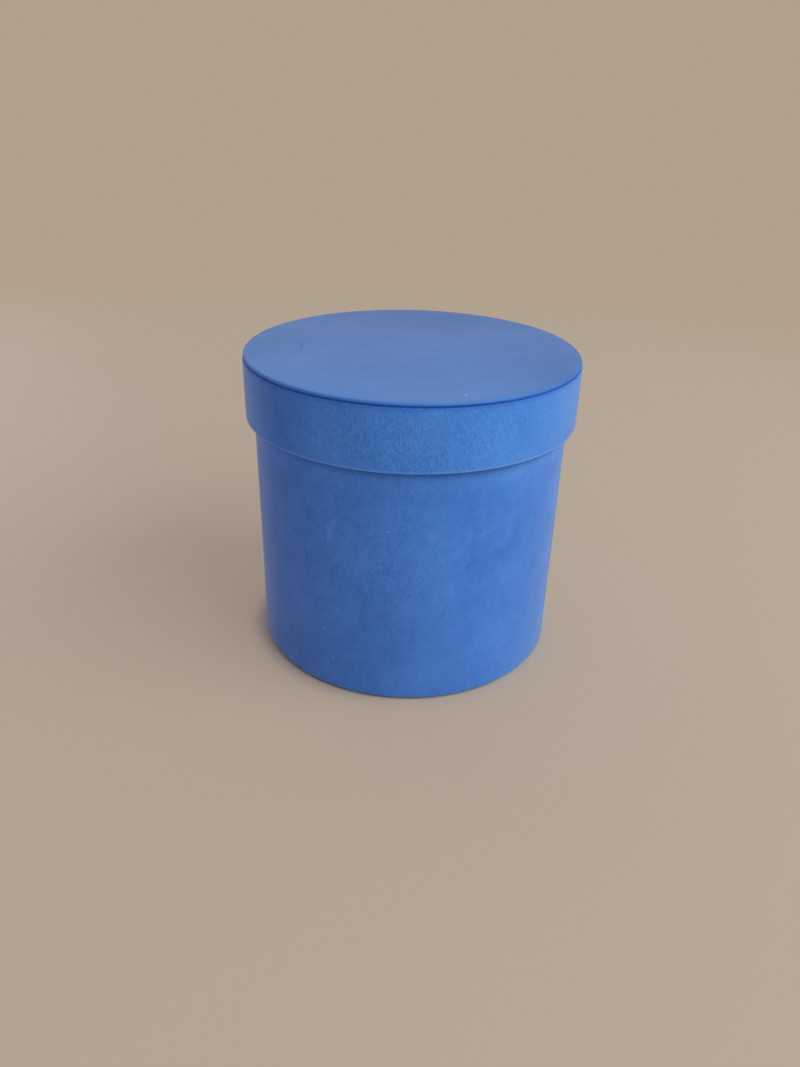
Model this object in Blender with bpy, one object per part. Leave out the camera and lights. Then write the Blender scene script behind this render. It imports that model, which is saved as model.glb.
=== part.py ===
# Round keepsake box of greyboard covered in blue velvet, with a lid that lifts off.
# Metres, +Z up. The origin is the centre of the base, where the box stands.
# The front faces -Y, and the seams of the velvet are at the back, at +Y.

from math import cos, pi, radians, sin

import bmesh
import bpy

# The closed box, over its velvet
LID_RADIUS = 0.080
BOX_HEIGHT = 0.150
LID_HEIGHT = 0.0305

# Thickness of each sheet and board
VELVET = 0.0004
WALL_BOARD = 0.0020
BASE_BOARD = 0.0020
LID_BOARD = 0.0015
PLATE_CARD = 0.0005
PAPER = 0.0003
BASE_CARD = 0.0005

# Fits
GLUE_LINE = 0.0002  # between a board and what is glued to it
LID_CLEARANCE = 0.0008  # all round the body, inside the lid
LID_SEAT = 0.0003  # between the rim and the paper under the lid's disc
BUTT_GAP = 0.0003  # where the ends or edges of two sheets meet

# Top plate of the lid, a covered card glued over the ring and its disc
PLATE_SETBACK = 0.0004  # its edge stays this far inside the ring's
PLATE_TURN_UNDER = 0.010  # width of the velvet that is turned under it

# Velvet turned in over the boards' edges
SKIRT_TURN_IN = 0.010
RING_TURN_OVER = 0.010
RIM_TURN_IN = 0.015
BASE_TURN_UNDER = 0.010

# The card under the base stays this far inside the edge of the body
BASE_CARD_MARGIN = 0.0034

# Rounding of a board's or card's soft edge, as a share of its thickness
WALL_EDGE_SHARE = 1 / 3
CARD_EDGE_SHARE = 0.4

# Smoothness
FACETS = 72
OUTER_FOLD_STEPS = 2
INNER_FOLD_STEPS = 1
SHARP_ANGLE = radians(50)
MERGE_DISTANCE = 0.00001
OVERRUN = 0.002  # how far a cutter runs past what it cuts

# Distance from a board's face to the two faces of the velvet that covers it
VELVET_BACK = GLUE_LINE
VELVET_FACE = GLUE_LINE + VELVET

# Radii, from the lid's velvet inwards
RING_OUTER = LID_RADIUS - VELVET_FACE
RING_INNER = RING_OUTER - WALL_BOARD
RING_LINING_OUTER = RING_INNER - GLUE_LINE
RING_LINING_INNER = RING_LINING_OUTER - PAPER
LID_MOUTH = RING_INNER - VELVET_FACE
BODY_RADIUS = LID_MOUTH - LID_CLEARANCE
TUBE_OUTER = BODY_RADIUS - VELVET_FACE
TUBE_INNER = TUBE_OUTER - WALL_BOARD
BODY_LINING_OUTER = TUBE_INNER - GLUE_LINE
BODY_LINING_INNER = BODY_LINING_OUTER - PAPER
PLATE_RADIUS = LID_RADIUS - PLATE_SETBACK

# Heights in the lid, down from its top
CARD_TOP = -VELVET_FACE
CARD_BOTTOM = CARD_TOP - PLATE_CARD
PLATE_BOTTOM = CARD_BOTTOM - VELVET_FACE
RING_WRAP_TOP = PLATE_BOTTOM - GLUE_LINE
RING_TOP = RING_WRAP_TOP - VELVET_FACE
DISC_BOTTOM = RING_TOP - LID_BOARD
LID_LINING_TOP = DISC_BOTTOM - GLUE_LINE
LID_LINING_BOTTOM = LID_LINING_TOP - PAPER
RING_BOTTOM = -LID_HEIGHT + VELVET_FACE

# Heights in the body, up from the table
TUBE_BOTTOM = BASE_CARD + GLUE_LINE + VELVET_FACE
BASE_BOARD_TOP = TUBE_BOTTOM + BASE_BOARD
LINING_BOTTOM = BASE_BOARD_TOP + GLUE_LINE
RIM_HEIGHT = BOX_HEIGHT + LID_LINING_BOTTOM - LID_SEAT
TUBE_TOP = RIM_HEIGHT - VELVET_FACE

WALL_EDGE = WALL_BOARD * WALL_EDGE_SHARE
CARD_EDGE = PLATE_CARD * CARD_EDGE_SHARE


def clear_scene():
    for old in list(bpy.data.objects):
        bpy.data.objects.remove(old, do_unlink=True)


def linear_colour(hex_colour):
    channels = [int(hex_colour[i:i + 2], 16) / 255 for i in (0, 2, 4)]
    return [c / 12.92 if c <= 0.04045 else ((c + 0.055) / 1.055) ** 2.4 for c in channels] + [1]


def finish_of(name, hex_colour, roughness):
    material = bpy.data.materials.new(name)
    material.use_nodes = True
    shader = material.node_tree.nodes["Principled BSDF"]
    shader.inputs["Base Color"].default_value = linear_colour(hex_colour)
    shader.inputs["Roughness"].default_value = roughness
    shader.inputs["Metallic"].default_value = 0
    return material


def velvet_finish(name):
    return finish_of(name, "456fb4", 0.9)


def greyboard_finish(name):
    return finish_of(name, "8f8a80", 0.85)


def paper_finish(name):
    return finish_of(name, "e6e0d3", 0.8)


def fold(radius, height, start, end, steps):
    # Stations round a board's edge: the centre of its rounding, and the direction in degrees
    return [(radius, height, start + (end - start) * i / steps) for i in range(steps + 1)]


def offset_line(stations, distance):
    # The (radius, height) points that lie at one distance from the stations' centres
    return [(r + distance * cos(radians(a)), z + distance * sin(radians(a))) for r, z, a in stations]


def velvet_section(wrap, edge):
    # Cross-section of a velvet sheet that follows the board all the way round its folds
    face = offset_line(wrap(OUTER_FOLD_STEPS), edge + VELVET_FACE)
    back = offset_line(wrap(INNER_FOLD_STEPS), edge + VELVET_BACK)
    return face + back[::-1]


def strip_section(inner, outer, bottom, top):
    return [(inner, bottom), (inner, top), (outer, top), (outer, bottom)]


def disc_section(radius, bottom, top):
    return [(0, bottom), (0, top), (radius, top), (radius, bottom)]


def turned(name, section, material, parent=None):
    # A closed cross-section turned once round the upright axis
    bm = bmesh.new()
    corners = [bm.verts.new((radius, 0, height)) for radius, height in section]
    neighbours = zip(corners, corners[1:] + corners[:1])
    off_axis = [(a, b) for a, b in neighbours if max(a.co.x, b.co.x) > MERGE_DISTANCE]
    edges = [bm.edges.new(pair) for pair in off_axis]
    bmesh.ops.spin(
        bm, geom=corners + edges, axis=(0, 0, 1), cent=(0, 0, 0), angle=2 * pi, steps=FACETS, use_merge=True
    )
    bmesh.ops.remove_doubles(bm, verts=bm.verts, dist=MERGE_DISTANCE)
    bmesh.ops.recalc_face_normals(bm, faces=bm.faces)
    mesh = bpy.data.meshes.new(name)
    bm.to_mesh(mesh)
    bm.free()
    mesh.shade_smooth()
    mesh.set_sharp_from_angle(angle=SHARP_ANGLE)
    mesh.materials.append(material)
    piece = bpy.data.objects.new(name, mesh)
    piece.parent = parent
    bpy.context.collection.objects.link(piece)
    return piece


def seam_cutter(name, inner, outer, bottom, top, parent=None):
    # A thin upright slab through the back wall, as thick as the gap between a strip's two ends
    low = (-BUTT_GAP / 2, inner - OVERRUN, bottom - OVERRUN)
    high = (BUTT_GAP / 2, outer + OVERRUN, top + OVERRUN)
    bm = bmesh.new()
    bmesh.ops.create_cube(bm, size=1)
    for corner in bm.verts:
        corner.co = [h if c > 0 else l for c, l, h in zip(corner.co, low, high)]
    mesh = bpy.data.meshes.new(name)
    bm.to_mesh(mesh)
    bm.free()
    cutter = bpy.data.objects.new(name, mesh)
    cutter.parent = parent
    cutter.hide_render = True
    cutter.display_type = "WIRE"
    bpy.context.collection.objects.link(cutter)
    return cutter


def open_seam(piece, cutter):
    cut = piece.modifiers.new("back_seam", "BOOLEAN")
    cut.operation = "DIFFERENCE"
    cut.solver = "EXACT"
    cut.object = cutter


def body_wrap(steps):
    # From the turned-in velvet inside the rim, over it, down the outside and under the base
    inside, outside = TUBE_INNER + WALL_EDGE, TUBE_OUTER - WALL_EDGE
    rim, foot = TUBE_TOP - WALL_EDGE, TUBE_BOTTOM + WALL_EDGE
    return (
        [(inside, RIM_HEIGHT - RIM_TURN_IN, 180)]
        + fold(inside, rim, 180, 90, steps)
        + fold(outside, rim, 90, 0, steps)
        + fold(outside, foot, 0, -90, steps)
        + [(BODY_RADIUS - BASE_TURN_UNDER, foot, -90)]
    )


def make_body():
    body_velvet = turned("body_velvet", velvet_section(body_wrap, WALL_EDGE), velvet_finish("body_velvet"))

    # The tube has three soft edges. The fourth, inside at the base, is cut square against the base board.
    soft_edges = offset_line(body_wrap(INNER_FOLD_STEPS)[1:-1], WALL_EDGE)
    turned("body_tube", soft_edges + [(TUBE_INNER, TUBE_BOTTOM)], greyboard_finish("body_tube"))

    lining_top = RIM_HEIGHT - RIM_TURN_IN - BUTT_GAP
    body_lining = turned(
        "body_lining",
        strip_section(BODY_LINING_INNER, BODY_LINING_OUTER, LINING_BOTTOM, lining_top),
        paper_finish("body_lining"),
    )

    seam = seam_cutter("body_seam_cutter", BODY_RADIUS - BASE_TURN_UNDER, BODY_RADIUS, 0, RIM_HEIGHT)
    open_seam(body_velvet, seam)
    open_seam(body_lining, seam)


def make_base():
    turned(
        "base_cover",
        disc_section(BODY_RADIUS - BASE_CARD_MARGIN, 0, BASE_CARD),
        finish_of("base_cover", "2c3346", 0.8),
    )
    turned(
        "base_board",
        disc_section(TUBE_INNER - GLUE_LINE, TUBE_BOTTOM, BASE_BOARD_TOP),
        greyboard_finish("base_board"),
    )
    turned(
        "base_lining",
        disc_section(BODY_LINING_INNER - GLUE_LINE, LINING_BOTTOM, LINING_BOTTOM + PAPER),
        paper_finish("base_lining"),
    )


def ring_wrap(steps):
    # From the disc over the top of the ring, down the outside, round the lower edge and up inside
    inside, outside = RING_INNER + WALL_EDGE, RING_OUTER - WALL_EDGE
    top, bottom = RING_TOP - WALL_EDGE, RING_BOTTOM + WALL_EDGE
    return (
        [(LID_RADIUS - RING_TURN_OVER, top, 90)]
        + fold(outside, top, 90, 0, steps)
        + fold(outside, bottom, 0, -90, steps)
        + fold(inside, bottom, -90, -180, steps)
        + [(inside, -LID_HEIGHT + SKIRT_TURN_IN, -180)]
    )


def make_lid_ring(lid):
    ring_velvet = turned(
        "lid_ring_velvet", velvet_section(ring_wrap, WALL_EDGE), velvet_finish("lid_ring_velvet"), lid
    )

    # The ring has three soft edges. The fourth, inside at the top, is square beside the disc.
    soft_edges = offset_line(ring_wrap(INNER_FOLD_STEPS)[1:-1], WALL_EDGE)
    turned("lid_ring", soft_edges + [(RING_INNER, RING_TOP)], greyboard_finish("lid_ring"), lid)

    lining_bottom = -LID_HEIGHT + SKIRT_TURN_IN + BUTT_GAP
    ring_lining = turned(
        "lid_ring_lining",
        strip_section(RING_LINING_INNER, RING_LINING_OUTER, lining_bottom, LID_LINING_TOP),
        paper_finish("lid_ring_lining"),
        lid,
    )

    seam = seam_cutter(
        "lid_seam_cutter", LID_RADIUS - RING_TURN_OVER, LID_RADIUS, -LID_HEIGHT, RING_WRAP_TOP, lid
    )
    open_seam(ring_velvet, seam)
    open_seam(ring_lining, seam)


def make_lid_disc(lid):
    turned(
        "lid_disc",
        disc_section(RING_INNER - GLUE_LINE, DISC_BOTTOM, RING_TOP),
        greyboard_finish("lid_disc"),
        lid,
    )
    turned(
        "lid_disc_lining",
        disc_section(RING_LINING_INNER - GLUE_LINE, LID_LINING_BOTTOM, LID_LINING_TOP),
        paper_finish("lid_disc_lining"),
        lid,
    )


def plate_wrap(steps):
    # From the middle of the plate, out over its top, round its edge and under it
    edge_centre = PLATE_RADIUS - VELVET_FACE - CARD_EDGE
    top, bottom = CARD_TOP - CARD_EDGE, CARD_BOTTOM + CARD_EDGE
    return (
        [(0, top, 90)]
        + fold(edge_centre, top, 90, 0, steps)
        + fold(edge_centre, bottom, 0, -90, steps)
        + [(PLATE_RADIUS - PLATE_TURN_UNDER, bottom, -90)]
    )


def make_lid_plate(lid):
    turned("lid_top_velvet", velvet_section(plate_wrap, CARD_EDGE), velvet_finish("lid_top_velvet"), lid)

    soft_edges = offset_line(plate_wrap(INNER_FOLD_STEPS)[:-1], CARD_EDGE)
    turned("lid_top_card", soft_edges + [(0, CARD_BOTTOM)], greyboard_finish("lid_top_card"), lid)


def make_lid():
    # The empty stands at the top of the closed lid, on the axis that the lid lifts along
    lid = bpy.data.objects.new("lid_lift_axis", None)
    lid.location = (0, 0, BOX_HEIGHT)
    bpy.context.collection.objects.link(lid)
    make_lid_ring(lid)
    make_lid_disc(lid)
    make_lid_plate(lid)


clear_scene()
make_body()
make_base()
make_lid()
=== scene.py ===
import math

import bmesh
import bpy
from mathutils import Matrix, Vector


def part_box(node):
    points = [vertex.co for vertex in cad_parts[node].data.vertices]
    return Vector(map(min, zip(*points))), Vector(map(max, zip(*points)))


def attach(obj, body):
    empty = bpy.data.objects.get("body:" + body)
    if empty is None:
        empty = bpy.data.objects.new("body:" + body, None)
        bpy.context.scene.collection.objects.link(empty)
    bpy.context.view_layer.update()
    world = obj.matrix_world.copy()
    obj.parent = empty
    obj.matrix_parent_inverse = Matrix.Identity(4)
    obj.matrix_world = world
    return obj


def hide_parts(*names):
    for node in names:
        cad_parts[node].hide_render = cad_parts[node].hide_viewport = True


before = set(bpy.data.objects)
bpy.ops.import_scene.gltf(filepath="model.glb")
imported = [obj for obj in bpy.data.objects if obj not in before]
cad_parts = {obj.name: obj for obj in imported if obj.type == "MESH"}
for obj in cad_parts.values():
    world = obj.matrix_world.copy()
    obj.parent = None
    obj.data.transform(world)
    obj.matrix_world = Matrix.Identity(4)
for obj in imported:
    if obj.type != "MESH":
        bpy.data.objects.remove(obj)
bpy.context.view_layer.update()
mm = 0.001


# Small helpers

def linear(hexColour):
    # sRGB hex to the linear values that shaders work in
    channels = [int(hexColour[i:i + 2], 16) / 255 for i in (0, 2, 4)]
    return [c / 12.92 if c <= 0.04045 else ((c + 0.055) / 1.055) ** 2.4 for c in channels] + [1]


def addNode(tree, kind, settings=None, inputs=None):
    # One node with its settings, and its inputs set to values or linked to other nodes' outputs. A socket
    # goes by its name, or by its place where several share a name: the colours of a Mix are 6 and 7.
    node = tree.nodes.new(kind)
    for name, value in (settings or {}).items():
        setattr(node, name, value)
    for name, value in (inputs or {}).items():
        if isinstance(value, bpy.types.NodeSocket):
            tree.links.new(value, node.inputs[name])
        else:
            node.inputs[name].default_value = value
    return node


def newMaterial(name):
    material = bpy.data.materials.new(name)
    material.use_nodes = True
    material.node_tree.nodes.clear()
    return material, material.node_tree


def newObject(name, data):
    made = bpy.data.objects.new(name, data)
    bpy.context.scene.collection.objects.link(made)
    return made


def placeAt(radius, azimuth, height):
    # a point round the box: azimuth 0 is the front, 90 degrees the right
    return Vector((radius * math.sin(azimuth), -radius * math.cos(azimuth), height))


# Camera: the photograph's own place and lens, found from the outlines of the box

cameraView = {
    "lens": 27.86,
    "sensor": 36,
    "fromAxis": 388.7 * mm,
    "height": 256.6 * mm,
    "yaw": math.radians(-0.55),
    "pitch": math.radians(28.01),
    "roll": math.radians(1.446),
}


def makeCamera(view):
    data = bpy.data.cameras.new("photoCamera")
    data.lens = view["lens"]
    data.sensor_width = view["sensor"]
    camera = newObject("photoCamera", data)
    turn = (
        Matrix.Rotation(-view["yaw"], 4, "Z")
        @ Matrix.Rotation(math.pi / 2 - view["pitch"], 4, "X")
        @ Matrix.Rotation(view["roll"], 4, "Z")
    )
    camera.matrix_world = Matrix.Translation((0, -view["fromAxis"], view["height"])) @ turn
    bpy.context.scene.camera = camera


makeCamera(cameraView)
print("camera set")


# Sizes read from the frame

def radiusOf(node):
    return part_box(node)[1].x


def footOf(node):
    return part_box(node)[0].z


def topOf(node):
    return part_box(node)[1].z


glueLine = 0.2 * mm  # between two glued pieces
buttGap = 0.3 * mm  # between the edge of a lining and that of the turned-in velvet
boxHeight = topOf("lid_top_velvet")
bodyRadius = radiusOf("body_velvet")
lidRadius = radiusOf("lid_ring_velvet")
plateRadius = radiusOf("lid_top_velvet")
velvetThickness = bodyRadius - radiusOf("body_tube") - glueLine
paperThickness = topOf("base_lining") - footOf("base_lining")
tubeInner = radiusOf("base_board") + glueLine
ringInner = radiusOf("lid_disc") + glueLine


# Studio

# a pale floor that turns up into a backdrop, and light from the horizon all round, a little pink from the
# left and a little green from the right
studio = {
    "floorRadius": 1.1,
    "bend": 0.45,
    "wallHeight": 3.0,
    "stepsRound": 96,
    "bendSteps": 12,
    "weld": 0.1 * mm,
    "floorColour": "a99d93",
    "floorRoughness": 0.6,
    "floorSpecular": 0.4,
    "glowNear": "b4a08c",
    "glowFar": "b1a08c",
    "glowShare": 0.5,  # how much of the floor near the box is seen as evenly lit
    "glowStart": 0.35,
    "glowFull": 1.1,
    "contactStart": bodyRadius - 1 * mm,  # close to the box the floor is seen as it is, with its shadow
    "contactFull": bodyRadius + 10 * mm,
    "horizonLight": 1.1,
    "zenithLight": 0.44,
    "horizonTop": 0.3,
    "zenithStart": 0.7,
    "brightSide": math.radians(120),
    "brightShare": 0.18,  # how much more light comes from the bright side than from all round
    "leftTint": "ffe9f4",
    "rightTint": "e9fff4",
}

# a large soft lamp at the right, and a weak one that grazes the left side from behind
lamps = [
    {"name": "rightWindow", "colour": "fffffb", "power": 34, "width": 1.8, "height": 1.2, "distance": 1.8,
     "azimuth": 63, "elevation": 40},
    {"name": "leftWindow", "colour": "e4f2ff", "power": 6.5, "width": 0.8, "height": 0.4, "distance": 1.8,
     "azimuth": -138, "elevation": 7},
]


def sweepPaper(size):
    # Matt paper. The camera sees part of it as lit from all sides, and all of it further off, so the
    # backdrop is even and plain, and the shadow stays soft. A gloss would mirror what the camera sees, and
    # the box is lit by the paper alone.
    material, tree = newMaterial("matteSweepPaper")
    paper = addNode(tree, "ShaderNodeBsdfPrincipled", inputs={
        "Base Color": linear(size["floorColour"]), "Roughness": size["floorRoughness"],
        "Specular IOR Level": size["floorSpecular"],
    })
    where = addNode(tree, "ShaderNodeTexCoord").outputs["Object"]
    away = addNode(tree, "ShaderNodeVectorMath", {"operation": "LENGTH"}, {0: where})
    far = addNode(tree, "ShaderNodeMapRange", {"interpolation_type": "SMOOTHSTEP"}, {
        "Value": away.outputs["Value"], "From Min": size["glowStart"], "From Max": size["glowFull"],
    })
    tint = addNode(tree, "ShaderNodeMix", {"data_type": "RGBA"}, {
        0: far.outputs[0], 6: linear(size["glowNear"]), 7: linear(size["glowFar"]),
    })
    glow = addNode(tree, "ShaderNodeEmission", inputs={"Color": tint.outputs[2]})
    share = addNode(tree, "ShaderNodeMapRange", inputs={
        "Value": far.outputs[0], "To Min": size["glowShare"],
    })
    clear = addNode(tree, "ShaderNodeMapRange", {"interpolation_type": "SMOOTHSTEP"}, {
        "Value": away.outputs["Value"], "From Min": size["contactStart"], "From Max": size["contactFull"],
    })
    rays = addNode(tree, "ShaderNodeLightPath").outputs
    seen = rays["Is Camera Ray"]
    for ray in ("Is Glossy Ray", "Is Transmission Ray"):
        seen = addNode(tree, "ShaderNodeMath", {"operation": "MAXIMUM"}, {0: seen, 1: rays[ray]}).outputs[0]
    beside = addNode(tree, "ShaderNodeMath", {"operation": "MULTIPLY"}, {0: clear.outputs[0], 1: seen})
    shown = addNode(tree, "ShaderNodeMath", {"operation": "MULTIPLY"}, {
        0: share.outputs[0], 1: beside.outputs[0],
    })
    both = addNode(tree, "ShaderNodeMixShader", inputs={
        0: shown.outputs[0], 1: paper.outputs[0], 2: glow.outputs[0],
    })
    addNode(tree, "ShaderNodeOutputMaterial", inputs={"Surface": both.outputs[0]})
    return material


def makeStage(name, outline, paper, size):
    bm = bmesh.new()
    points = [bm.verts.new((r, 0, z)) for r, z in outline]
    edges = [bm.edges.new(pair) for pair in zip(points, points[1:])]
    bmesh.ops.spin(
        bm, geom=points + edges, axis=(0, 0, 1), cent=(0, 0, 0), angle=2 * math.pi,
        steps=size["stepsRound"], use_merge=True,
    )
    bmesh.ops.remove_doubles(bm, verts=bm.verts, dist=size["weld"])
    bmesh.ops.recalc_face_normals(bm, faces=bm.faces)
    bm.faces.ensure_lookup_table()
    if bm.faces[0].normal.z < 0:
        bmesh.ops.reverse_faces(bm, faces=bm.faces)
    mesh = bpy.data.meshes.new(name)
    bm.to_mesh(mesh)
    bm.free()
    mesh.shade_smooth()
    mesh.materials.append(paper)
    made = newObject(name, mesh)
    return made


def makeSweep(size):
    # the backdrop is only looked at: it keeps none of the light from the box
    rise = [(size["floorRadius"], 0)]
    for i in range(1, size["bendSteps"] + 1):
        a = math.pi / 2 * i / size["bendSteps"]
        rise.append((size["floorRadius"] + size["bend"] * math.sin(a), size["bend"] * (1 - math.cos(a))))
    rise.append((size["floorRadius"] + size["bend"], size["wallHeight"]))
    paper = sweepPaper(size)
    makeStage("floor", [(0, 0), (size["floorRadius"], 0)], paper, size)
    backdrop = makeStage("backdrop", rise, paper, size)
    backdrop.visible_shadow = backdrop.visible_diffuse = backdrop.visible_glossy = False


def makeSky(size):
    # each direction has a length of 1, so its X runs from -1 at the left to 1 at the right
    world = bpy.data.worlds.new("roomLight")
    world.use_nodes = True
    tree = world.node_tree
    tree.nodes.clear()
    way = addNode(tree, "ShaderNodeTexCoord").outputs["Generated"]
    parts = addNode(tree, "ShaderNodeSeparateXYZ", inputs={0: way})
    strength = addNode(tree, "ShaderNodeMapRange", {"interpolation_type": "SMOOTHSTEP"}, {
        "Value": parts.outputs["Z"], "From Min": size["horizonTop"], "From Max": size["zenithStart"],
        "To Min": size["horizonLight"], "To Max": size["zenithLight"],
    })
    side = addNode(tree, "ShaderNodeVectorMath", {"operation": "DOT_PRODUCT"}, {
        0: way, 1: placeAt(size["brightShare"], size["brightSide"], 0),
    })
    uneven = addNode(tree, "ShaderNodeMath", {"operation": "MULTIPLY_ADD"}, {
        0: side.outputs["Value"], 1: strength.outputs[0], 2: strength.outputs[0],
    })
    across = addNode(tree, "ShaderNodeMapRange", inputs={"Value": parts.outputs["X"], "From Min": -1.0})
    tint = addNode(tree, "ShaderNodeMix", {"data_type": "RGBA"}, {
        0: across.outputs[0], 6: linear(size["leftTint"]), 7: linear(size["rightTint"]),
    })
    sky = addNode(tree, "ShaderNodeBackground", inputs={
        "Color": tint.outputs[2], "Strength": uneven.outputs[0],
    })
    addNode(tree, "ShaderNodeOutputWorld", inputs={"Surface": sky.outputs[0]})
    bpy.context.scene.world = world


def makeLamp(lamp):
    data = bpy.data.lights.new(lamp["name"], "AREA")
    data.shape = "RECTANGLE"
    data.size = lamp["width"]
    data.size_y = lamp["height"]
    data.energy = lamp["power"]
    data.color = linear(lamp["colour"])[:3]
    light = newObject(lamp["name"], data)
    rise = math.radians(lamp["elevation"])
    away = placeAt(math.cos(rise), math.radians(lamp["azimuth"]), math.sin(rise))
    light.location = Vector((0, 0, boxHeight / 2)) + away * lamp["distance"]
    light.rotation_euler = away.to_track_quat("Z", "Y").to_euler()
    light.visible_camera = False


makeSweep(studio)
makeSky(studio)
for lamp in lamps:
    makeLamp(lamp)
print("studio made")


# Velvet finish

velvet = {
    "roughness": 0.95,
    "specular": 0.15,
    "sheen": "ffe3a0",
    "sheenRoughness": 0.4,
    # the opened pile, also a painted highlight, then painted shade beside the crease and a deeper one in it
    "openingAndLight": "76a0e2",
    "paintedShade": "004aa0",
    "paintedCreaseShade": "004fc6",
    "patchNoise": (0.35, 0.65),  # from here to there the pattern goes from its least to its most
    "patchShow": (0.5, 1.5),
    "handledShow": (0.45, 1.15),
    "markDepth": 20 * mm,
    "rippleCell": 2.5 * mm,
    "paintedLightBelowLidHeight": 16 * mm,
}


def wallMarkAndPaintedShade(azimuth, height, tilt, width, length, tone):
    # a patch of tone on an upright wall: the small ones are where a finger or a fold has brushed the pile,
    # the broad ones painted shade; the tilt leans its length to the left
    a = math.radians(azimuth)
    return {
        "at": placeAt(bodyRadius, a, height), "turn": (0, -math.radians(tilt), a),
        "size": (width / 2, velvet["markDepth"], length / 2), "tone": tone,
    }


def topMarkAndPaintedLight(x, y, turn, width, length, tone):
    # a patch of tone on the lid's top: the narrow ones are marks on the pile, the broad ones painted light
    # and shade
    return {
        "at": Vector((x, y, boxHeight)), "turn": (0, 0, math.radians(turn)),
        "size": (width / 2, length / 2, velvet["markDepth"]), "tone": tone,
    }


# Each layer of the pile's pattern has the size of its cells in mm across, deep and up, how they lean in
# degrees, what they do to the tone and how much they raise the surface. Where "patches" is given, the layer
# shows more in some places of that size than in others, and most of all where the box is handled.
bandPile = {
    "shade": "2a5faa",
    "brushed": "4e83ce",
    "layers": [
        {"cell": (34, 34, 48), "lean": (0, 0), "tone": 0.6, "relief": 0.0},
        {"cell": (4, 4, 5), "lean": (0, 0), "tone": 0.3, "relief": 0.2},
        {"cell": (0.8, 0.8, 2), "lean": (12, 16), "tone": 0.74, "relief": 0.6, "patches": 9},
        {"cell": (0.8, 0.8, 2), "lean": (-12, -16), "tone": 0.74, "relief": 0.6, "patches": 6},
    ],
    "handled": {"at": placeAt(lidRadius, math.radians(3), 134 * mm), "turn": (0, 0, 0),
                "size": (75 * mm, 60 * mm, 200 * mm)},
    # painted shade: the left of the band is darker, where the light falls off
    "marksAndPaintedLight": [wallMarkAndPaintedShade(-41, 134 * mm, 0, 50 * mm, 120 * mm, -0.35)],
    "ripple": 0.0,
    "haze": 0.28,
    "paintedLightBelowLid": 0.0,
    "relief": 0.16 * mm,
    "openedLightShare": 0.4,
}

bodyPile = {
    "shade": "2d5eaa",
    "brushed": "497ac6",
    "layers": [
        {"cell": (45, 45, 50), "lean": (0, 0), "tone": 0.9, "relief": 0.0},
        {"cell": (12, 12, 14), "lean": (0, 20), "tone": 0.5, "relief": 0.2},
        {"cell": (3.5, 3.5, 7), "lean": (0, 14), "tone": 0.5, "relief": 0.2},
        {"cell": (0.8, 0.8, 2.2), "lean": (12, 16), "tone": 0.6, "relief": 0.6, "patches": 18},
        {"cell": (0.8, 0.8, 2.2), "lean": (-12, -16), "tone": 0.6, "relief": 0.6, "patches": 12},
    ],
    "handled": {"at": placeAt(bodyRadius, math.radians(-8), 90 * mm), "turn": (0, 0, 0),
                "size": (70 * mm, 60 * mm, 90 * mm)},
    "marksAndPaintedLight": [
        wallMarkAndPaintedShade(-27, 85 * mm, 8, 5 * mm, 14 * mm, 0.75),
        wallMarkAndPaintedShade(-25, 91 * mm, -25, 4 * mm, 9 * mm, 0.5),
        wallMarkAndPaintedShade(-24, 74 * mm, -15, 6 * mm, 11 * mm, 0.35),
        wallMarkAndPaintedShade(13, 77 * mm, -50, 4 * mm, 9 * mm, 0.25),
        wallMarkAndPaintedShade(18, 80 * mm, -40, 4 * mm, 14 * mm, 0.3),
        wallMarkAndPaintedShade(21, 88 * mm, 10, 4 * mm, 13 * mm, 0.25),
        wallMarkAndPaintedShade(26, 87 * mm, -65, 5 * mm, 19 * mm, 0.25),
        wallMarkAndPaintedShade(32, 80 * mm, -70, 5 * mm, 16 * mm, 0.2),
        wallMarkAndPaintedShade(38, 92 * mm, -20, 5 * mm, 13 * mm, 0.2),
        wallMarkAndPaintedShade(36, 76 * mm, -55, 4 * mm, 12 * mm, -0.2),
        wallMarkAndPaintedShade(23, 73 * mm, -60, 4 * mm, 11 * mm, -0.25),
        wallMarkAndPaintedShade(14, 60 * mm, 0, 9 * mm, 12 * mm, 0.2),
        wallMarkAndPaintedShade(8, 88 * mm, 30, 5 * mm, 9 * mm, 0.25),
        wallMarkAndPaintedShade(-14, 40 * mm, 25, 7 * mm, 20 * mm, -0.2),
        wallMarkAndPaintedShade(-6, 27 * mm, 60, 7 * mm, 18 * mm, -0.2),
        # painted shade: the lower right of the body is darker
        wallMarkAndPaintedShade(52, 30 * mm, 0, 60 * mm, 90 * mm, -0.2),
    ],
    "ripple": 4 * mm,
    "haze": 0.28,
    "paintedLightBelowLid": 0.38,
    "relief": 0.12 * mm,
    "openedLightShare": 0.4,
}

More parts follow.
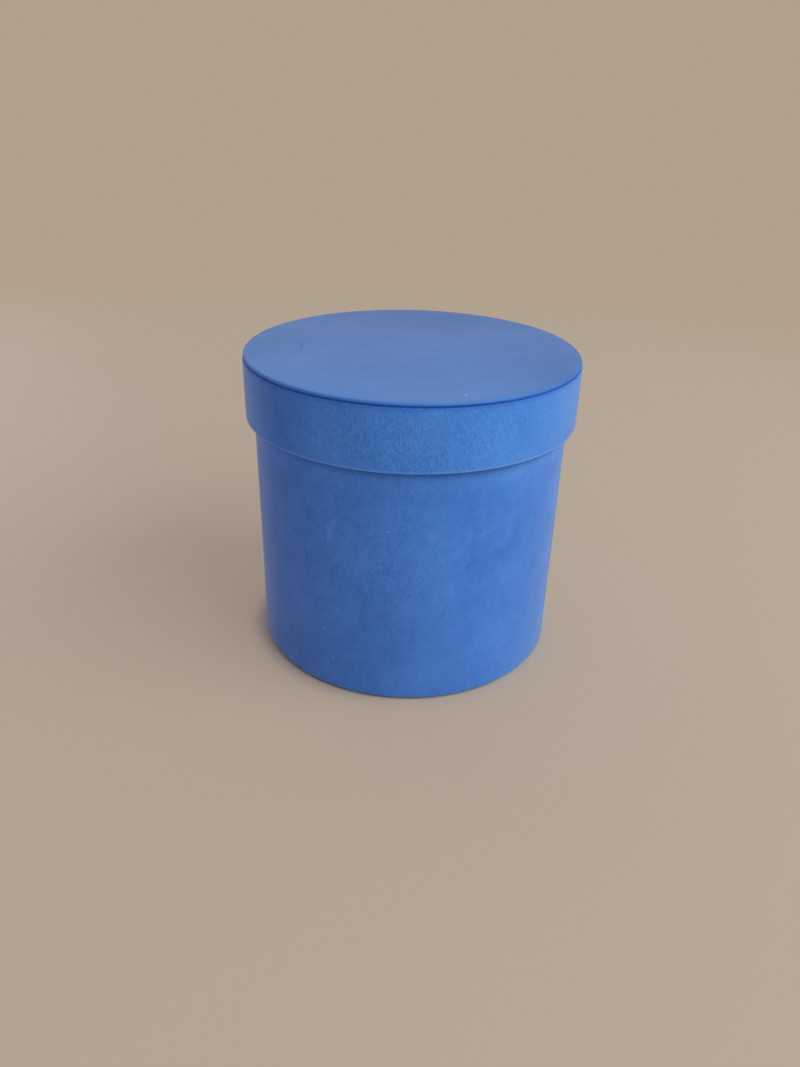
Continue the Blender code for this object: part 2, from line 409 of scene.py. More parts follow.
topPile = {
    # painted shade: the top has darker, less red colours than the walls of the same velvet, to offset the
    # haze that the light puts on it
    "shade": "1c5ba2",
    "brushed": "4678bd",
    "layers": [
        {"cell": (55, 55, 55), "lean": (0, 0), "tone": 0.7, "relief": 0.0},
        {"cell": (10, 10, 10), "lean": (0, 0), "tone": 0.35, "relief": 0.3},
        {"cell": (1.2, 1.2, 1.2), "lean": (0, 0), "tone": 0.25, "relief": 1.0},
    ],
    "handled": None,
    "marksAndPaintedLight": [
        # painted shade at the back of the top, and painted light at its front
        topMarkAndPaintedLight(0, 75 * mm, 0, 260 * mm, 150 * mm, -0.5),
        topMarkAndPaintedLight(0, -85 * mm, 0, 260 * mm, 110 * mm, 0.3),
        # painted shade at the right and at the left of the top
        topMarkAndPaintedLight(66 * mm, 0, 0, 130 * mm, 170 * mm, -0.35),
        topMarkAndPaintedLight(-75 * mm, 10 * mm, 0, 70 * mm, 150 * mm, -0.2),
        topMarkAndPaintedLight(-52.8 * mm, 0, 5, 2 * mm, 14 * mm, -1.2),
        topMarkAndPaintedLight(-52.2 * mm, -8 * mm, -10, 1.8 * mm, 8 * mm, -0.6),
    ],
    "ripple": 1 * mm,
    "haze": 0.22,
    "paintedLightBelowLid": 0.0,
    "relief": 0.08 * mm,
    "openedLightShare": 0.3,
}


def flockedVelvet(name, pile):
    # Flocked velvet: short upright rayon fibres on a cotton backing. It is matt and deep face on, has a pale
    # haze at grazing angles, and is cloudy where hands have brushed the pile over. Its colour also holds
    # painted
    # light and shade: at the folds, below the lid's edge and in broad patches.
    material, tree = newMaterial(name)
    where = addNode(tree, "ShaderNodeTexCoord").outputs["Object"]
    middle = 0.5  # of a noise, and of the way from the shade to the brushed colour

    def cells(size, lean):
        laid = addNode(tree, "ShaderNodeMapping", {"vector_type": "TEXTURE"}, {
            "Vector": where, "Rotation": [math.radians(a) for a in (*lean, 0)],
            "Scale": [length * mm for length in size],
        })
        return addNode(tree, "ShaderNodeTexNoise", inputs={
            "Vector": laid.outputs[0], "Scale": 1.0,
        }).outputs[0]

    def soft(place, point):
        # 1 in the middle of a place, fading out to its edge
        laid = addNode(tree, "ShaderNodeMapping", {"vector_type": "TEXTURE"}, {
            "Vector": point, "Location": place["at"], "Rotation": place["turn"], "Scale": place["size"],
        })
        away = addNode(tree, "ShaderNodeVectorMath", {"operation": "LENGTH"}, {0: laid.outputs[0]})
        return addNode(tree, "ShaderNodeMapRange", {"interpolation_type": "SMOOTHSTEP"}, {
            "Value": away.outputs["Value"], "To Min": 1.0, "To Max": 0.0,
        }).outputs[0]

    handled = 1.0
    if pile["handled"]:
        handled = addNode(tree, "ShaderNodeMapRange", inputs={
            "Value": soft(pile["handled"], where), "To Min": velvet["handledShow"][0],
            "To Max": velvet["handledShow"][1],
        }).outputs[0]
    tones, reliefs = [], []
    for layer in pile["layers"]:
        swing = addNode(tree, "ShaderNodeMath", {"operation": "SUBTRACT"}, {
            0: cells(layer["cell"], layer["lean"]), 1: middle,
        }).outputs[0]
        if "patches" in layer:
            patch = addNode(tree, "ShaderNodeMapRange", inputs={
                "Value": cells([layer["patches"]] * 3, (0, 0)),
                "From Min": velvet["patchNoise"][0], "From Max": velvet["patchNoise"][1],
                "To Min": velvet["patchShow"][0], "To Max": velvet["patchShow"][1],
            })
            for share in (patch.outputs[0], handled):
                swing = addNode(tree, "ShaderNodeMath", {"operation": "MULTIPLY"}, {
                    0: swing, 1: share,
                }).outputs[0]
        tones.append((swing, layer["tone"]))
        reliefs.append((swing, layer["relief"]))

    # the marks' outlines are bent by a fine ripple, so that none is a plain oval
    ripple = addNode(tree, "ShaderNodeTexNoise", inputs={"Vector": where, "Scale": 1 / velvet["rippleCell"]})
    aside = addNode(tree, "ShaderNodeVectorMath", {"operation": "SUBTRACT"}, {
        0: ripple.outputs["Color"], 1: [middle] * 3,
    })
    bent = addNode(tree, "ShaderNodeVectorMath", {"operation": "MULTIPLY_ADD"}, {
        0: aside.outputs[0], 1: [pile["ripple"]] * 3, 2: where,
    })
    for mark in pile["marksAndPaintedLight"]:
        tones.append((soft(mark, bent.outputs[0]), mark["tone"]))
    if pile["paintedLightBelowLid"]:
        # painted light: the body is paler just below the lid's lower edge, which lifts the shade under the
        # lid
        lidFoot = footOf("lid_ring_velvet")
        height = addNode(tree, "ShaderNodeSeparateXYZ", inputs={0: where}).outputs["Z"]
        near = addNode(tree, "ShaderNodeMapRange", {"interpolation_type": "SMOOTHSTEP"}, {
            "Value": height, "From Min": lidFoot - velvet["paintedLightBelowLidHeight"], "From Max": lidFoot,
        })
        tones.append((near.outputs[0], pile["paintedLightBelowLid"]))

    sums = []
    for total, terms in ((middle, tones), (0.0, reliefs)):
        for value, share in terms:
            total = addNode(tree, "ShaderNodeMath", {"operation": "MULTIPLY_ADD"}, {
                0: value, 1: share, 2: total,
            }).outputs[0]
        sums.append(total)
    tone, relief = sums
    colour = addNode(tree, "ShaderNodeMix", {"data_type": "RGBA", "clamp_factor": True}, {
        0: tone, 6: linear(pile["shade"]), 7: linear(pile["brushed"]),
    }).outputs[2]

    # the fold attribute paints light and shade into the colour: at 1 the pile opens at an edge and shows its
    # paler sides, on the lid's lower edge also a painted highlight; at -1, beside the crease and below the
    # lid's edge, it is painted shade, and at -2, in the crease, a deeper and bluer painted shade
    fold = addNode(tree, "ShaderNodeAttribute", {"attribute_name": "fold"}).outputs["Fac"]
    for title, share, start in (
        ("openingAndLight", pile["openedLightShare"], 0.0), ("paintedShade", -1.0, 0.0), ("paintedCreaseShade", -1.0, -1.0),
    ):
        part = addNode(tree, "ShaderNodeMath", {"operation": "MULTIPLY_ADD", "use_clamp": True}, {
            0: fold, 1: share, 2: start,
        })
        colour = addNode(tree, "ShaderNodeMix", {"data_type": "RGBA"}, {
            0: part.outputs[0], 6: colour, 7: linear(velvet[title]),
        }).outputs[2]
    bump = addNode(tree, "ShaderNodeBump", inputs={
        "Strength": 1.0, "Distance": pile["relief"], "Height": relief,
    })
    shader = addNode(tree, "ShaderNodeBsdfPrincipled", inputs={
        "Base Color": colour, "Roughness": velvet["roughness"], "Specular IOR Level": velvet["specular"],
        "Sheen Weight": pile["haze"], "Sheen Roughness": velvet["sheenRoughness"],
        "Sheen Tint": linear(velvet["sheen"]), "Normal": bump.outputs[0],
    })
    addNode(tree, "ShaderNodeOutputMaterial", inputs={"Surface": shader.outputs[0]})
    return material


# Mottled finishes: paper, board and single fibres

# "detail" is how many finer layers the clouds have, and "grain" how strong each is beside the one before
papers = {
    # uncoated book paper is off-white and quite matt, with a cloudy formation of its fibres
    "lining": {"name": "uncoatedLiningPaper", "dark": "ddd6c6", "light": "ece6d8", "cell": 2.5 * mm,
               "detail": 4.0, "grain": 0.6, "roughness": 0.85, "specular": 0.3, "relief": 0.05 * mm},
    # greyboard is pressed from waste paper, with pale and dark flecks
    "board": {"name": "pressedGreyboard", "dark": "7d776c", "light": "a19a8e", "cell": 1.2 * mm,
              "detail": 4.0, "grain": 0.6, "roughness": 0.9, "specular": 0.2, "relief": 0.1 * mm},
    # the dyed card is calendered, so it is smoother
    "base": {"name": "dyedBaseCard", "dark": "262d40", "light": "343c52", "cell": 0.8 * mm,
             "detail": 4.0, "grain": 0.6, "roughness": 0.7, "specular": 0.4, "relief": 0.05 * mm},
}


def makeMottled(kind):
    # clouds from dark to light, of a real size; where they have a relief, the surface rises with them
    reliefStrength = 0.5
    material, tree = newMaterial(kind["name"])
    where = addNode(tree, "ShaderNodeTexCoord").outputs["Object"]
    clouds = addNode(tree, "ShaderNodeTexNoise", inputs={
        "Vector": where, "Scale": 1 / kind["cell"], "Detail": kind["detail"], "Roughness": kind["grain"],
    }).outputs[0]
    colour = addNode(tree, "ShaderNodeMix", {"data_type": "RGBA"}, {
        0: clouds, 6: linear(kind["dark"]), 7: linear(kind["light"]),
    })
    shader = addNode(tree, "ShaderNodeBsdfPrincipled", inputs={
        "Base Color": colour.outputs[2], "Roughness": kind["roughness"],
        "Specular IOR Level": kind["specular"],
    })
    if "relief" in kind:
        bump = addNode(tree, "ShaderNodeBump", inputs={
            "Strength": reliefStrength, "Distance": kind["relief"], "Height": clouds,
        })
        tree.links.new(bump.outputs[0], shader.inputs["Normal"])
    addNode(tree, "ShaderNodeOutputMaterial", inputs={"Surface": shader.outputs[0]})
    return material


# Geometry Nodes, one tree for the turned sheets and one for the loose nap

def newTree(name, wanted):
    tree = bpy.data.node_groups.new(name, "GeometryNodeTree")
    tree.interface.new_socket("Geometry", in_out="INPUT", socket_type="NodeSocketGeometry")
    for title, kind in wanted:
        tree.interface.new_socket(title, in_out="INPUT", socket_type="NodeSocket" + kind)
    tree.interface.new_socket("Geometry", in_out="OUTPUT", socket_type="NodeSocketGeometry")
    return tree, addNode(tree, "NodeGroupInput").outputs


def endTree(tree, geometry, material):
    real = addNode(tree, "GeometryNodeRealizeInstances", inputs={"Geometry": geometry})
    painted = addNode(tree, "GeometryNodeSetMaterial", inputs={
        "Geometry": real.outputs[0], "Material": material,
    })
    addNode(tree, "NodeGroupOutput", inputs={"Geometry": painted.outputs[0]})
    return tree


def sheetTree():
    # Sweeps a cross-section round the box, and lets it wave a little where the glue held it less
    tree, given = newTree("turnedSheet", [
        ("Path Radius", "Float"), ("Steps Round", "Int"), ("Open Seam", "Bool"), ("Seam Gap", "Float"),
        ("Weld Distance", "Float"), ("Wave Height", "Float"), ("Wave Length", "Float"), ("Seed", "Float"),
        ("Material", "Material"),
    ])
    section = addNode(tree, "GeometryNodeMeshToCurve", inputs={"Mesh": given["Geometry"]})

    # the seam is at the back, a quarter turn on from +X
    gapTurn = addNode(tree, "ShaderNodeMath", {"operation": "DIVIDE"}, {
        0: given["Seam Gap"], 1: given["Path Radius"],
    })
    start = addNode(tree, "ShaderNodeMath", {"operation": "MULTIPLY_ADD"}, {
        0: gapTurn.outputs[0], 1: 0.5, 2: math.pi / 2,
    })
    sweep = addNode(tree, "ShaderNodeMath", {"operation": "SUBTRACT"}, {
        0: 2 * math.pi, 1: gapTurn.outputs[0],
    })
    openPath = addNode(tree, "GeometryNodeCurveArc", {"mode": "RADIUS"}, {
        "Resolution": given["Steps Round"], "Radius": given["Path Radius"], "Start Angle": start.outputs[0],
        "Sweep Angle": sweep.outputs[0],
    })
    closedPath = addNode(tree, "GeometryNodeCurvePrimitiveCircle", {"mode": "RADIUS"}, {
        "Resolution": given["Steps Round"], "Radius": given["Path Radius"],
    })
    path = addNode(tree, "GeometryNodeSwitch", {"input_type": "GEOMETRY"}, {
        "Switch": given["Open Seam"], "False": closedPath.outputs[0], "True": openPath.outputs[0],
    })
    swept = addNode(tree, "GeometryNodeCurveToMesh", inputs={
        "Curve": path.outputs[0], "Profile Curve": section.outputs[0], "Fill Caps": given["Open Seam"],
    })
    welded = addNode(tree, "GeometryNodeMergeByDistance", inputs={
        "Geometry": swept.outputs[0], "Distance": given["Weld Distance"],
    })

    # each point moves along its lift, outwards and upwards, by smooth noise, most of which is in this range
    noiseLow, noiseHigh = 0.25, 0.75
    where = addNode(tree, "GeometryNodeInputPosition").outputs[0]
    frequency = addNode(tree, "ShaderNodeMath", {"operation": "DIVIDE"}, {0: 1.0, 1: given["Wave Length"]})
    waves = addNode(tree, "ShaderNodeTexNoise", {"noise_dimensions": "4D"}, {
        "Vector": where, "W": given["Seed"], "Scale": frequency.outputs[0], "Detail": 1.0,
    })
    swing = addNode(tree, "ShaderNodeMapRange", inputs={
        "Value": waves.outputs[0], "From Min": noiseLow, "From Max": noiseHigh, "To Min": -1.0,
        "To Max": 1.0,
    })
    height = addNode(tree, "ShaderNodeMath", {"operation": "MULTIPLY"}, {
        0: swing.outputs[0], 1: given["Wave Height"],
    })
    lift = addNode(tree, "GeometryNodeInputNamedAttribute", {"data_type": "FLOAT_VECTOR"}, {"Name": "lift"})
    lifts = addNode(tree, "ShaderNodeSeparateXYZ", inputs={0: lift.outputs[0]})
    level = addNode(tree, "ShaderNodeVectorMath", {"operation": "MULTIPLY"}, {0: where, 1: (1, 1, 0)})
    away = addNode(tree, "ShaderNodeVectorMath", {"operation": "NORMALIZE"}, {0: level.outputs[0]})
    sideways = addNode(tree, "ShaderNodeVectorMath", {"operation": "SCALE"}, {
        0: away.outputs[0], "Scale": lifts.outputs[0],
    })
    upwards = addNode(tree, "ShaderNodeCombineXYZ", inputs={2: lifts.outputs[1]})
    both = addNode(tree, "ShaderNodeVectorMath", {"operation": "ADD"}, {
        0: sideways.outputs[0], 1: upwards.outputs[0],
    })
    offset = addNode(tree, "ShaderNodeVectorMath", {"operation": "SCALE"}, {
        0: both.outputs[0], "Scale": height.outputs[0],
    })
    waved = addNode(tree, "GeometryNodeSetPosition", inputs={
        "Geometry": welded.outputs[0], "Offset": offset.outputs[0],
    })
    return endTree(tree, waved.outputs[0], given["Material"])


def napTree():
    # Loose fibres that stand up from the pile, thickest where the sheet is folded
    tree, given = newTree("looseNap", [
        ("Even Density", "Float"), ("Fold Density", "Float"), ("Fibre Length", "Float"),
        ("Fibre Width", "Float"), ("Fibre Sides", "Int"), ("Shortest Share", "Float"), ("Lean", "Float"),
        ("Seed", "Int"), ("Material", "Material"),
    ])
    fold = addNode(tree, "GeometryNodeInputNamedAttribute", {"data_type": "FLOAT"}, {"Name": "fold"})
    pile = addNode(tree, "GeometryNodeInputNamedAttribute", {"data_type": "FLOAT"}, {"Name": "pile"})
    thick = addNode(tree, "ShaderNodeMath", {"operation": "MULTIPLY_ADD"}, {
        0: fold.outputs[0], 1: given["Fold Density"], 2: given["Even Density"],
    })
    someNap = addNode(tree, "ShaderNodeMath", {"operation": "MAXIMUM"}, {0: thick.outputs[0], 1: 0.0})
    density = addNode(tree, "ShaderNodeMath", {"operation": "MULTIPLY"}, {
        0: someNap.outputs[0], 1: pile.outputs[0],
    })
    roots = addNode(tree, "GeometryNodeDistributePointsOnFaces", inputs={
        "Mesh": given["Geometry"], "Density": density.outputs[0], "Seed": given["Seed"],
    })
    halfWidth = addNode(tree, "ShaderNodeMath", {"operation": "MULTIPLY"}, {0: given["Fibre Width"], 1: 0.5})
    fibre = addNode(tree, "GeometryNodeMeshCone", inputs={
        "Vertices": given["Fibre Sides"], "Radius Top": 0.0, "Radius Bottom": halfWidth.outputs[0],
        "Depth": given["Fibre Length"],
    })
    backLean = addNode(tree, "ShaderNodeMath", {"operation": "MULTIPLY"}, {0: given["Lean"], 1: -1.0})
    leanFrom = addNode(tree, "ShaderNodeCombineXYZ", inputs={0: backLean.outputs[0], 1: backLean.outputs[0]})
    leanTo = addNode(tree, "ShaderNodeCombineXYZ", inputs={
        0: given["Lean"], 1: given["Lean"], 2: 2 * math.pi,
    })
    lean = addNode(tree, "FunctionNodeRandomValue", {"data_type": "FLOAT_VECTOR"}, {
        0: leanFrom.outputs[0], 1: leanTo.outputs[0], "Seed": given["Seed"],
    })
    leaning = addNode(tree, "FunctionNodeEulerToRotation", inputs={0: lean.outputs[0]})
    turned = addNode(tree, "FunctionNodeRotateRotation", {"rotation_space": "LOCAL"}, {
        0: roots.outputs["Rotation"], 1: leaning.outputs[0],
    })
    size = addNode(tree, "FunctionNodeRandomValue", {"data_type": "FLOAT"}, {
        2: given["Shortest Share"], 3: 1.0, "Seed": given["Seed"],
    })
    placed = addNode(tree, "GeometryNodeInstanceOnPoints", inputs={
        "Points": roots.outputs["Points"], "Instance": fibre.outputs[0], "Rotation": turned.outputs[0],
        "Scale": size.outputs[1],
    })
    return endTree(tree, placed.outputs[0], given["Material"])


trees = {"sheet": sheetTree(), "nap": napTree()}


def grow(name, source, tree, values):
    # What a tree makes of an object, as a plain mesh at the origin. The source goes.
    modifier = source.modifiers.new(tree.name, "NODES")
    modifier.node_group = tree
    for item in tree.interface.items_tree:
        if item.in_out == "INPUT" and item.name in values:
            modifier[item.identifier] = values[item.name]
    bpy.context.view_layer.update()
    evaluated = source.evaluated_get(bpy.context.evaluated_depsgraph_get())
    mesh = bpy.data.meshes.new_from_object(evaluated)
    mesh.name = name
    source.modifiers.remove(modifier)
    bpy.data.objects.remove(source)
    bm = bmesh.new()
    bm.from_mesh(mesh)
    bmesh.ops.delete(bm, geom=[edge for edge in bm.edges if not edge.link_faces], context="EDGES")
    bmesh.ops.recalc_face_normals(bm, faces=bm.faces)
    bm.to_mesh(mesh)
    bm.free()
    return newObject(name, mesh)


def fit(piece, body, slot, *nodes):
    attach(piece, body)
    if nodes:
        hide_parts(*nodes)


# Velvet sheets: stations follow the board's edges, and the sheet lies at a distance outside them

wraps = {
    "stepsRound": 288,
    "foldSteps": 8,
    "runStep": 4 * mm,
    "wallEdge": 0.667 * mm,  # how far the edges of the tube, the ring and the card are rounded
    "ringEdge": 0.25 * mm,
    "cardEdge": 0.2 * mm,
    "seamGap": 0.1 * mm,
    "weld": 0.005 * mm,
    "turnUnder": 10 * mm,
    "openingAndLightStart": 0.6 * mm,  # how far above the lid's lower edge its pile begins to open, with a painted highlight
    "creaseShadeReach": 1.4 * mm,  # how far below the crease the painted shade reaches
    # up from the lid's lower edge, and the painted shade on the body there
    "shadeBelowLid": [(1 * mm, 0), (0, -0.5), (-1.5 * mm, -0.45), (-4.5 * mm, 0)],
    "waveHeight": 0.08 * mm,
    "waveLength": 38 * mm,
}

# the colour at a fold's start, middle and end: 1 is the paler opened pile, on the lid's lower edge also a
# painted highlight; -1 is painted shade, and -2 a deeper painted shade in the crease between the lid's ring
# and its top plate
folds = {
    "rimInside": (0, 1, 0.5),
    "rimOutside": (0.5, 1, 0),
    "foot": (0, 0.3, -0.5),
    "ringTop": (-2, -0.6, -0.3),
    "ringFoot": (0.7, 1, 0),
    "ringInside": (0, 0, 0),
    "plateTop": (0, 0, -0.15),
    "plateFoot": (-0.15, -0.45, -2),
}


def fold(radius, height, start, end, title):
    # stations round an edge of board: the centre of its rounding, the way out from it in degrees, and the
    # pile's opening with the painted light and shade there
    first, middle, last = folds[title]
    steps, stations = wraps["foldSteps"], []
    for i in range(steps + 1):
        t = i / steps
        if t <= 0.5:
            openingAndLight = first + (middle - first) * 2 * t
        else:
            openingAndLight = middle + (last - middle) * (2 * t - 1)
        stations.append((radius, height, start + (end - start) * t, openingAndLight))
    return stations


def withRuns(stations):
    # adds stations along each straight stretch
    full = [stations[0]]
    for a, b in zip(stations, stations[1:]):
        steps = max(1, round(math.hypot(b[0] - a[0], b[1] - a[1]) / wraps["runStep"]))
        for i in range(1, steps + 1):
            full.append(tuple(p + (q - p) * i / steps for p, q in zip(a, b)))
    return full


def bodyStations(edge):
    # up inside the rim, over it, down the outside, past the painted shade below the lid's lower edge, and
    # under the base
    inside, outside = tubeInner + edge, radiusOf("body_tube") - edge
    rim, foot = topOf("body_tube") - edge, footOf("body_tube") + edge
    lidEdge = footOf("lid_ring_velvet")
    return (
        [(inside, topOf("body_lining") + buttGap, 180, folds["rimInside"][0])]
        + fold(inside, rim, 180, 90, "rimInside") + fold(outside, rim, 90, 0, "rimOutside")
        + [(outside, lidEdge + above, 0, openingAndLight) for above, openingAndLight in wraps["shadeBelowLid"]]
        + fold(outside, foot, 0, -90, "foot")
        + [(bodyRadius - wraps["turnUnder"], foot, -90, folds["foot"][-1])]
    )


def ringStations(edge):
    # from the lid's disc over the top of the ring, down the outside, round the lower edge and up inside
    inside, outside = ringInner + edge, radiusOf("lid_ring") - edge
    top, bottom = topOf("lid_ring") - edge, footOf("lid_ring") + edge
    return (
        [(lidRadius - wraps["turnUnder"], top, 90, folds["ringTop"][0])]
        + fold(outside, top, 90, 0, "ringTop")
        + [(outside, top - wraps["creaseShadeReach"], 0, 0), (outside, bottom + wraps["openingAndLightStart"], 0, 0)]
        + fold(outside, bottom, 0, -90, "ringFoot") + fold(inside, bottom, -90, -180, "ringInside")
        + [(inside, footOf("lid_ring_lining") - buttGap, -180, folds["ringInside"][-1])]
    )


def plateStations(edge):
    # from the middle of the plate, out over its top, round its edge and under it
    centre = radiusOf("lid_top_card") - edge
    top, bottom = topOf("lid_top_card") - edge, footOf("lid_top_card") + edge
    return (
        [(0, top, 90, folds["plateTop"][0])]
        + fold(centre, top, 90, 0, "plateTop") + fold(centre, bottom, 0, -90, "plateFoot")
        + [(plateRadius - wraps["turnUnder"], bottom, -90, folds["plateFoot"][-1])]
    )


def sheetRows(stations, near, far):
    # A sheet's closed cross-section, its face and then its back. Each row is radius, height, the two lifts,
    # pile and fold, the last being the painted light and shade of the pile.
    face, back = [], []
    for radius, height, turn, openingAndLight in stations:
        out, up = math.cos(math.radians(turn)), math.sin(math.radians(turn))
        face.append((radius + far * out, height + far * up, out, up, 1, openingAndLight))
        back.append((radius + near * out, height + near * up, out, up, 0, openingAndLight))
    return face + back[::-1]


def plainRows(points):
    return [(radius, height, 0, 0, 0, 0) for radius, height in points]


def sectionObject(name, rows, pathRadius):
    # the section stands on the path, so its X is measured from there and its Y runs down
    mesh = bpy.data.meshes.new(name)
    points = [(row[0] - pathRadius, -row[1], 0) for row in rows]
    mesh.from_pydata(points, [(i, (i + 1) % len(rows)) for i in range(len(rows))], [])
    lift = mesh.attributes.new("lift", "FLOAT_VECTOR", "POINT")
    lift.data.foreach_set("vector", [value for row in rows for value in (row[2], row[3], 0)])
    for title, column in (("pile", 4), ("fold", 5)):
        field = mesh.attributes.new(title, "FLOAT", "POINT")
        field.data.foreach_set("value", [row[column] for row in rows])
    return newObject(name, mesh)


def turnedSheet(name, rows, pathRadius, material, openSeam, waveHeight=0.0, seed=0.0):
    piece = grow(name, sectionObject(name + "Section", rows, pathRadius), trees["sheet"], {
        "Path Radius": pathRadius, "Steps Round": wraps["stepsRound"], "Open Seam": openSeam,
        "Seam Gap": wraps["seamGap"], "Weld Distance": wraps["weld"], "Wave Height": waveHeight,
        "Wave Length": wraps["waveLength"], "Seed": seed, "Material": material,
    })
    piece.data.shade_smooth()
    return piece


def makeVelvet(name, stations, edge, pathRadius, material, openSeam, seed):
    near, far = edge + glueLine, edge + glueLine + velvetThickness
    rows = sheetRows(withRuns(stations(edge)), near, far)
    piece = turnedSheet(name, rows, pathRadius, material, openSeam, wraps["waveHeight"], seed)
    points = [(row[0], row[1]) for row in rows[:len(rows) // 2]]
    length = sum(math.dist(p, q) for p, q in zip(points, points[1:]))
    return piece, length


bandFinish = flockedVelvet("flockedVelvetBand", bandPile)
bodyFinish = flockedVelvet("flockedVelvetBody", bodyPile)
topFinish = flockedVelvet("flockedVelvetTop", topPile)

bodyWrap, bodyLength = makeVelvet(
    "bodyVelvet", bodyStations, wraps["wallEdge"], bodyRadius, bodyFinish, openSeam=True, seed=3.1,
)
fit(bodyWrap, "box", "velvet", "body_velvet")

ringWrap, ringLength = makeVelvet(
    "ringVelvet", ringStations, wraps["ringEdge"], lidRadius, bandFinish, openSeam=True, seed=7.7,
)
fit(ringWrap, "lid", "velvet", "lid_ring_velvet")

plateWrap, plateReach = makeVelvet(
    "plateVelvet", plateStations, wraps["cardEdge"], plateRadius, topFinish, openSeam=False, seed=12.4,
)
fit(plateWrap, "lid", "velvet", "lid_top_velvet")
print("velvet sheets made:", [len(p.data.polygons) for p in (bodyWrap, ringWrap, plateWrap)], "faces")


# Loose nap along the folds, and a little everywhere

nap = {
    "length": 0.7 * mm,
    "width": 0.07 * mm,
    "sides": 3,
    "shortestShare": 0.5,
    "lean": math.radians(40),
    # "even" and "fold" are fibres to the square millimetre, everywhere and more where the fold opens
    "pieces": [
        {"name": "bodyNap", "sheet": bodyWrap, "body": "box", "even": 0.12, "fold": 1.2, "seed": 11},
        {"name": "ringNap", "sheet": ringWrap, "body": "lid", "even": 0.35, "fold": 2.0, "seed": 12},
        {"name": "plateNap", "sheet": plateWrap, "body": "lid", "even": 0.12, "fold": 2.0, "seed": 13},
    ],
    # single rayon fibres, paler than the pile because light passes through them
    "finish": {"name": "looseRayonFibre", "dark": "3f69b0", "light": "7496cf", "cell": 0.6 * mm,
               "detail": 2.0, "grain": 0.5, "roughness": 0.8, "specular": 0.3},
}

napFinish = makeMottled(nap["finish"])
for part in nap["pieces"]:
    source = newObject(part["name"] + "Source", part["sheet"].data.copy())
    loose = grow(part["name"], source, trees["nap"], {
        "Even Density": part["even"] / mm ** 2, "Fold Density": part["fold"] / mm ** 2,
        "Fibre Length": nap["length"], "Fibre Width": nap["width"], "Fibre Sides": nap["sides"],
        "Shortest Share": nap["shortestShare"], "Lean": nap["lean"], "Seed": part["seed"],
        "Material": napFinish,
    })
    fit(loose, part["body"], "velvet")
    print(part["name"], "has", len(loose.data.polygons) // (nap["sides"] + 1), "fibres")


# A few specks of pale lint, each a short curl of fibre that lies on the pile

lint = {
    "thickness": 0.22 * mm,
    "tipShare": 0.4,
    "sides": 5,
    "steps": 7,
    # cotton is pale and matt; its thin fibres let the blue of the pile through, so their tone varies
    "finish": {"name": "cottonLint", "dark": "88aef0", "light": "bcdcff", "cell": 0.4 * mm,
               "detail": 2.0, "grain": 0.5, "roughness": 0.9, "specular": 0.2},
    "box": [
        {"azimuth": -6, "height": 90.4 * mm, "length": 1.1 * mm, "bend": 200, "turn": 20},
        {"azimuth": -29.2, "height": 33.1 * mm, "length": 1.0 * mm, "bend": 150, "turn": 70},
        {"azimuth": -26.1, "height": 17.9 * mm, "length": 0.9 * mm, "bend": 260, "turn": 130},
    ],
    "lid": [
        {"x": 22.2 * mm, "y": -68.9 * mm, "length": 2.6 * mm, "bend": 240, "turn": 60},
        {"x": 4.2 * mm, "y": -21 * mm, "length": 0.9 * mm, "bend": 170, "turn": 10},
    ],
}


def lintFrame(speck):
    # where a speck lies, and its turn: its own Z points away from the pile
    turn = Matrix.Rotation(math.radians(speck["turn"]), 4, "Z")
    if "azimuth" in speck:
        a = math.radians(speck["azimuth"])
        place = placeAt(bodyRadius + lint["thickness"], a, speck["height"])
        turn = Matrix.Rotation(a, 4, "Z") @ Matrix.Rotation(math.pi / 2, 4, "X") @ turn
    else:
        place = Vector((speck["x"], speck["y"], boxHeight + lint["thickness"]))
    return Matrix.Translation(place) @ turn


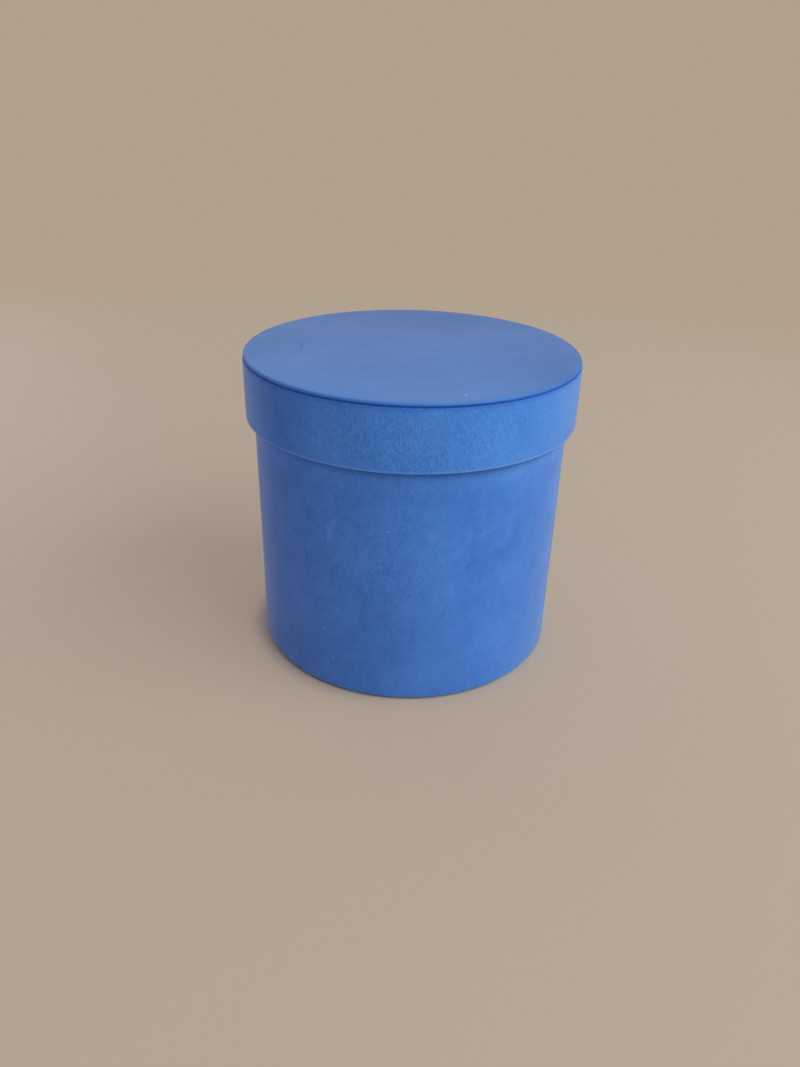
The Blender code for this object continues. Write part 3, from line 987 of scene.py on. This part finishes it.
def addCurl(bm, speck):
    # a tube along an arc, thinner at its ends, which are closed
    bend, radius, tip = math.radians(speck["bend"]), lint["thickness"] / 2, lint["tipShare"]
    curl, place = speck["length"] / bend, lintFrame(speck)
    rings = []
    for i in range(lint["steps"]):
        t = i / (lint["steps"] - 1)
        a, width = bend * t, radius * (tip + (1 - tip) * math.sin(math.pi * t))
        ring = []
        for j in range(lint["sides"]):
            b = 2 * math.pi * j / lint["sides"]
            out = curl + width * math.cos(b)
            point = Vector((out * math.cos(a), out * math.sin(a), width * math.sin(b)))
            ring.append(bm.verts.new(place @ point))
        rings.append(ring)
    for ring, after in zip(rings, rings[1:]):
        for j in range(lint["sides"]):
            k = (j + 1) % lint["sides"]
            bm.faces.new((ring[j], ring[k], after[k], after[j]))
    bm.faces.new(rings[0])
    bm.faces.new(rings[-1])


def makeLint(name, specks, body, material):
    bm = bmesh.new()
    for speck in specks:
        addCurl(bm, speck)
    bmesh.ops.recalc_face_normals(bm, faces=bm.faces)
    mesh = bpy.data.meshes.new(name)
    bm.to_mesh(mesh)
    bm.free()
    mesh.shade_smooth()
    mesh.materials.append(material)
    fit(newObject(name, mesh), body, "velvet")


lintFinish = makeMottled(lint["finish"])
makeLint("boxLint", lint["box"], "box", lintFinish)
makeLint("lidLint", lint["lid"], "lid", lintFinish)
print("lint laid")


# Linings, the card under the base and the raw boards

liningPaper = makeMottled(papers["lining"])
baseCard = makeMottled(papers["base"])
greyboard = makeMottled(papers["board"])
sharpAngle = math.radians(50)


def makeStrip(name, node, body, outer):
    inner = outer - paperThickness
    low, high = footOf(node), topOf(node)
    rows = plainRows([(inner, low), (inner, high), (outer, high), (outer, low)])
    piece = turnedSheet(name, rows, outer, liningPaper, openSeam=True)
    piece.data.set_sharp_from_angle(angle=sharpAngle)
    fit(piece, body, "lining_paper", node)


def makeRound(name, node, body, slot, material):
    radius, low, high = radiusOf(node), footOf(node), topOf(node)
    rows = plainRows([(0, high), (radius, high), (radius, low), (0, low)])
    piece = turnedSheet(name, rows, radius, material, openSeam=False)
    piece.data.set_sharp_from_angle(angle=sharpAngle)
    fit(piece, body, slot, node)


makeStrip("bodyLining", "body_lining", "box", tubeInner - glueLine)
makeRound("floorLining", "base_lining", "box", "lining_paper", liningPaper)
makeStrip("ringLining", "lid_ring_lining", "lid", ringInner - glueLine)
makeRound("discLining", "lid_disc_lining", "lid", "lining_paper", liningPaper)
makeRound("footCard", "base_cover", "box", "base_card", baseCard)
for node in ("body_tube", "base_board", "lid_ring", "lid_disc", "lid_top_card"):
    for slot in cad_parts[node].material_slots:
        slot.material = greyboard
print("linings and boards made")

bpy.context.scene.view_settings.view_transform = "Standard"
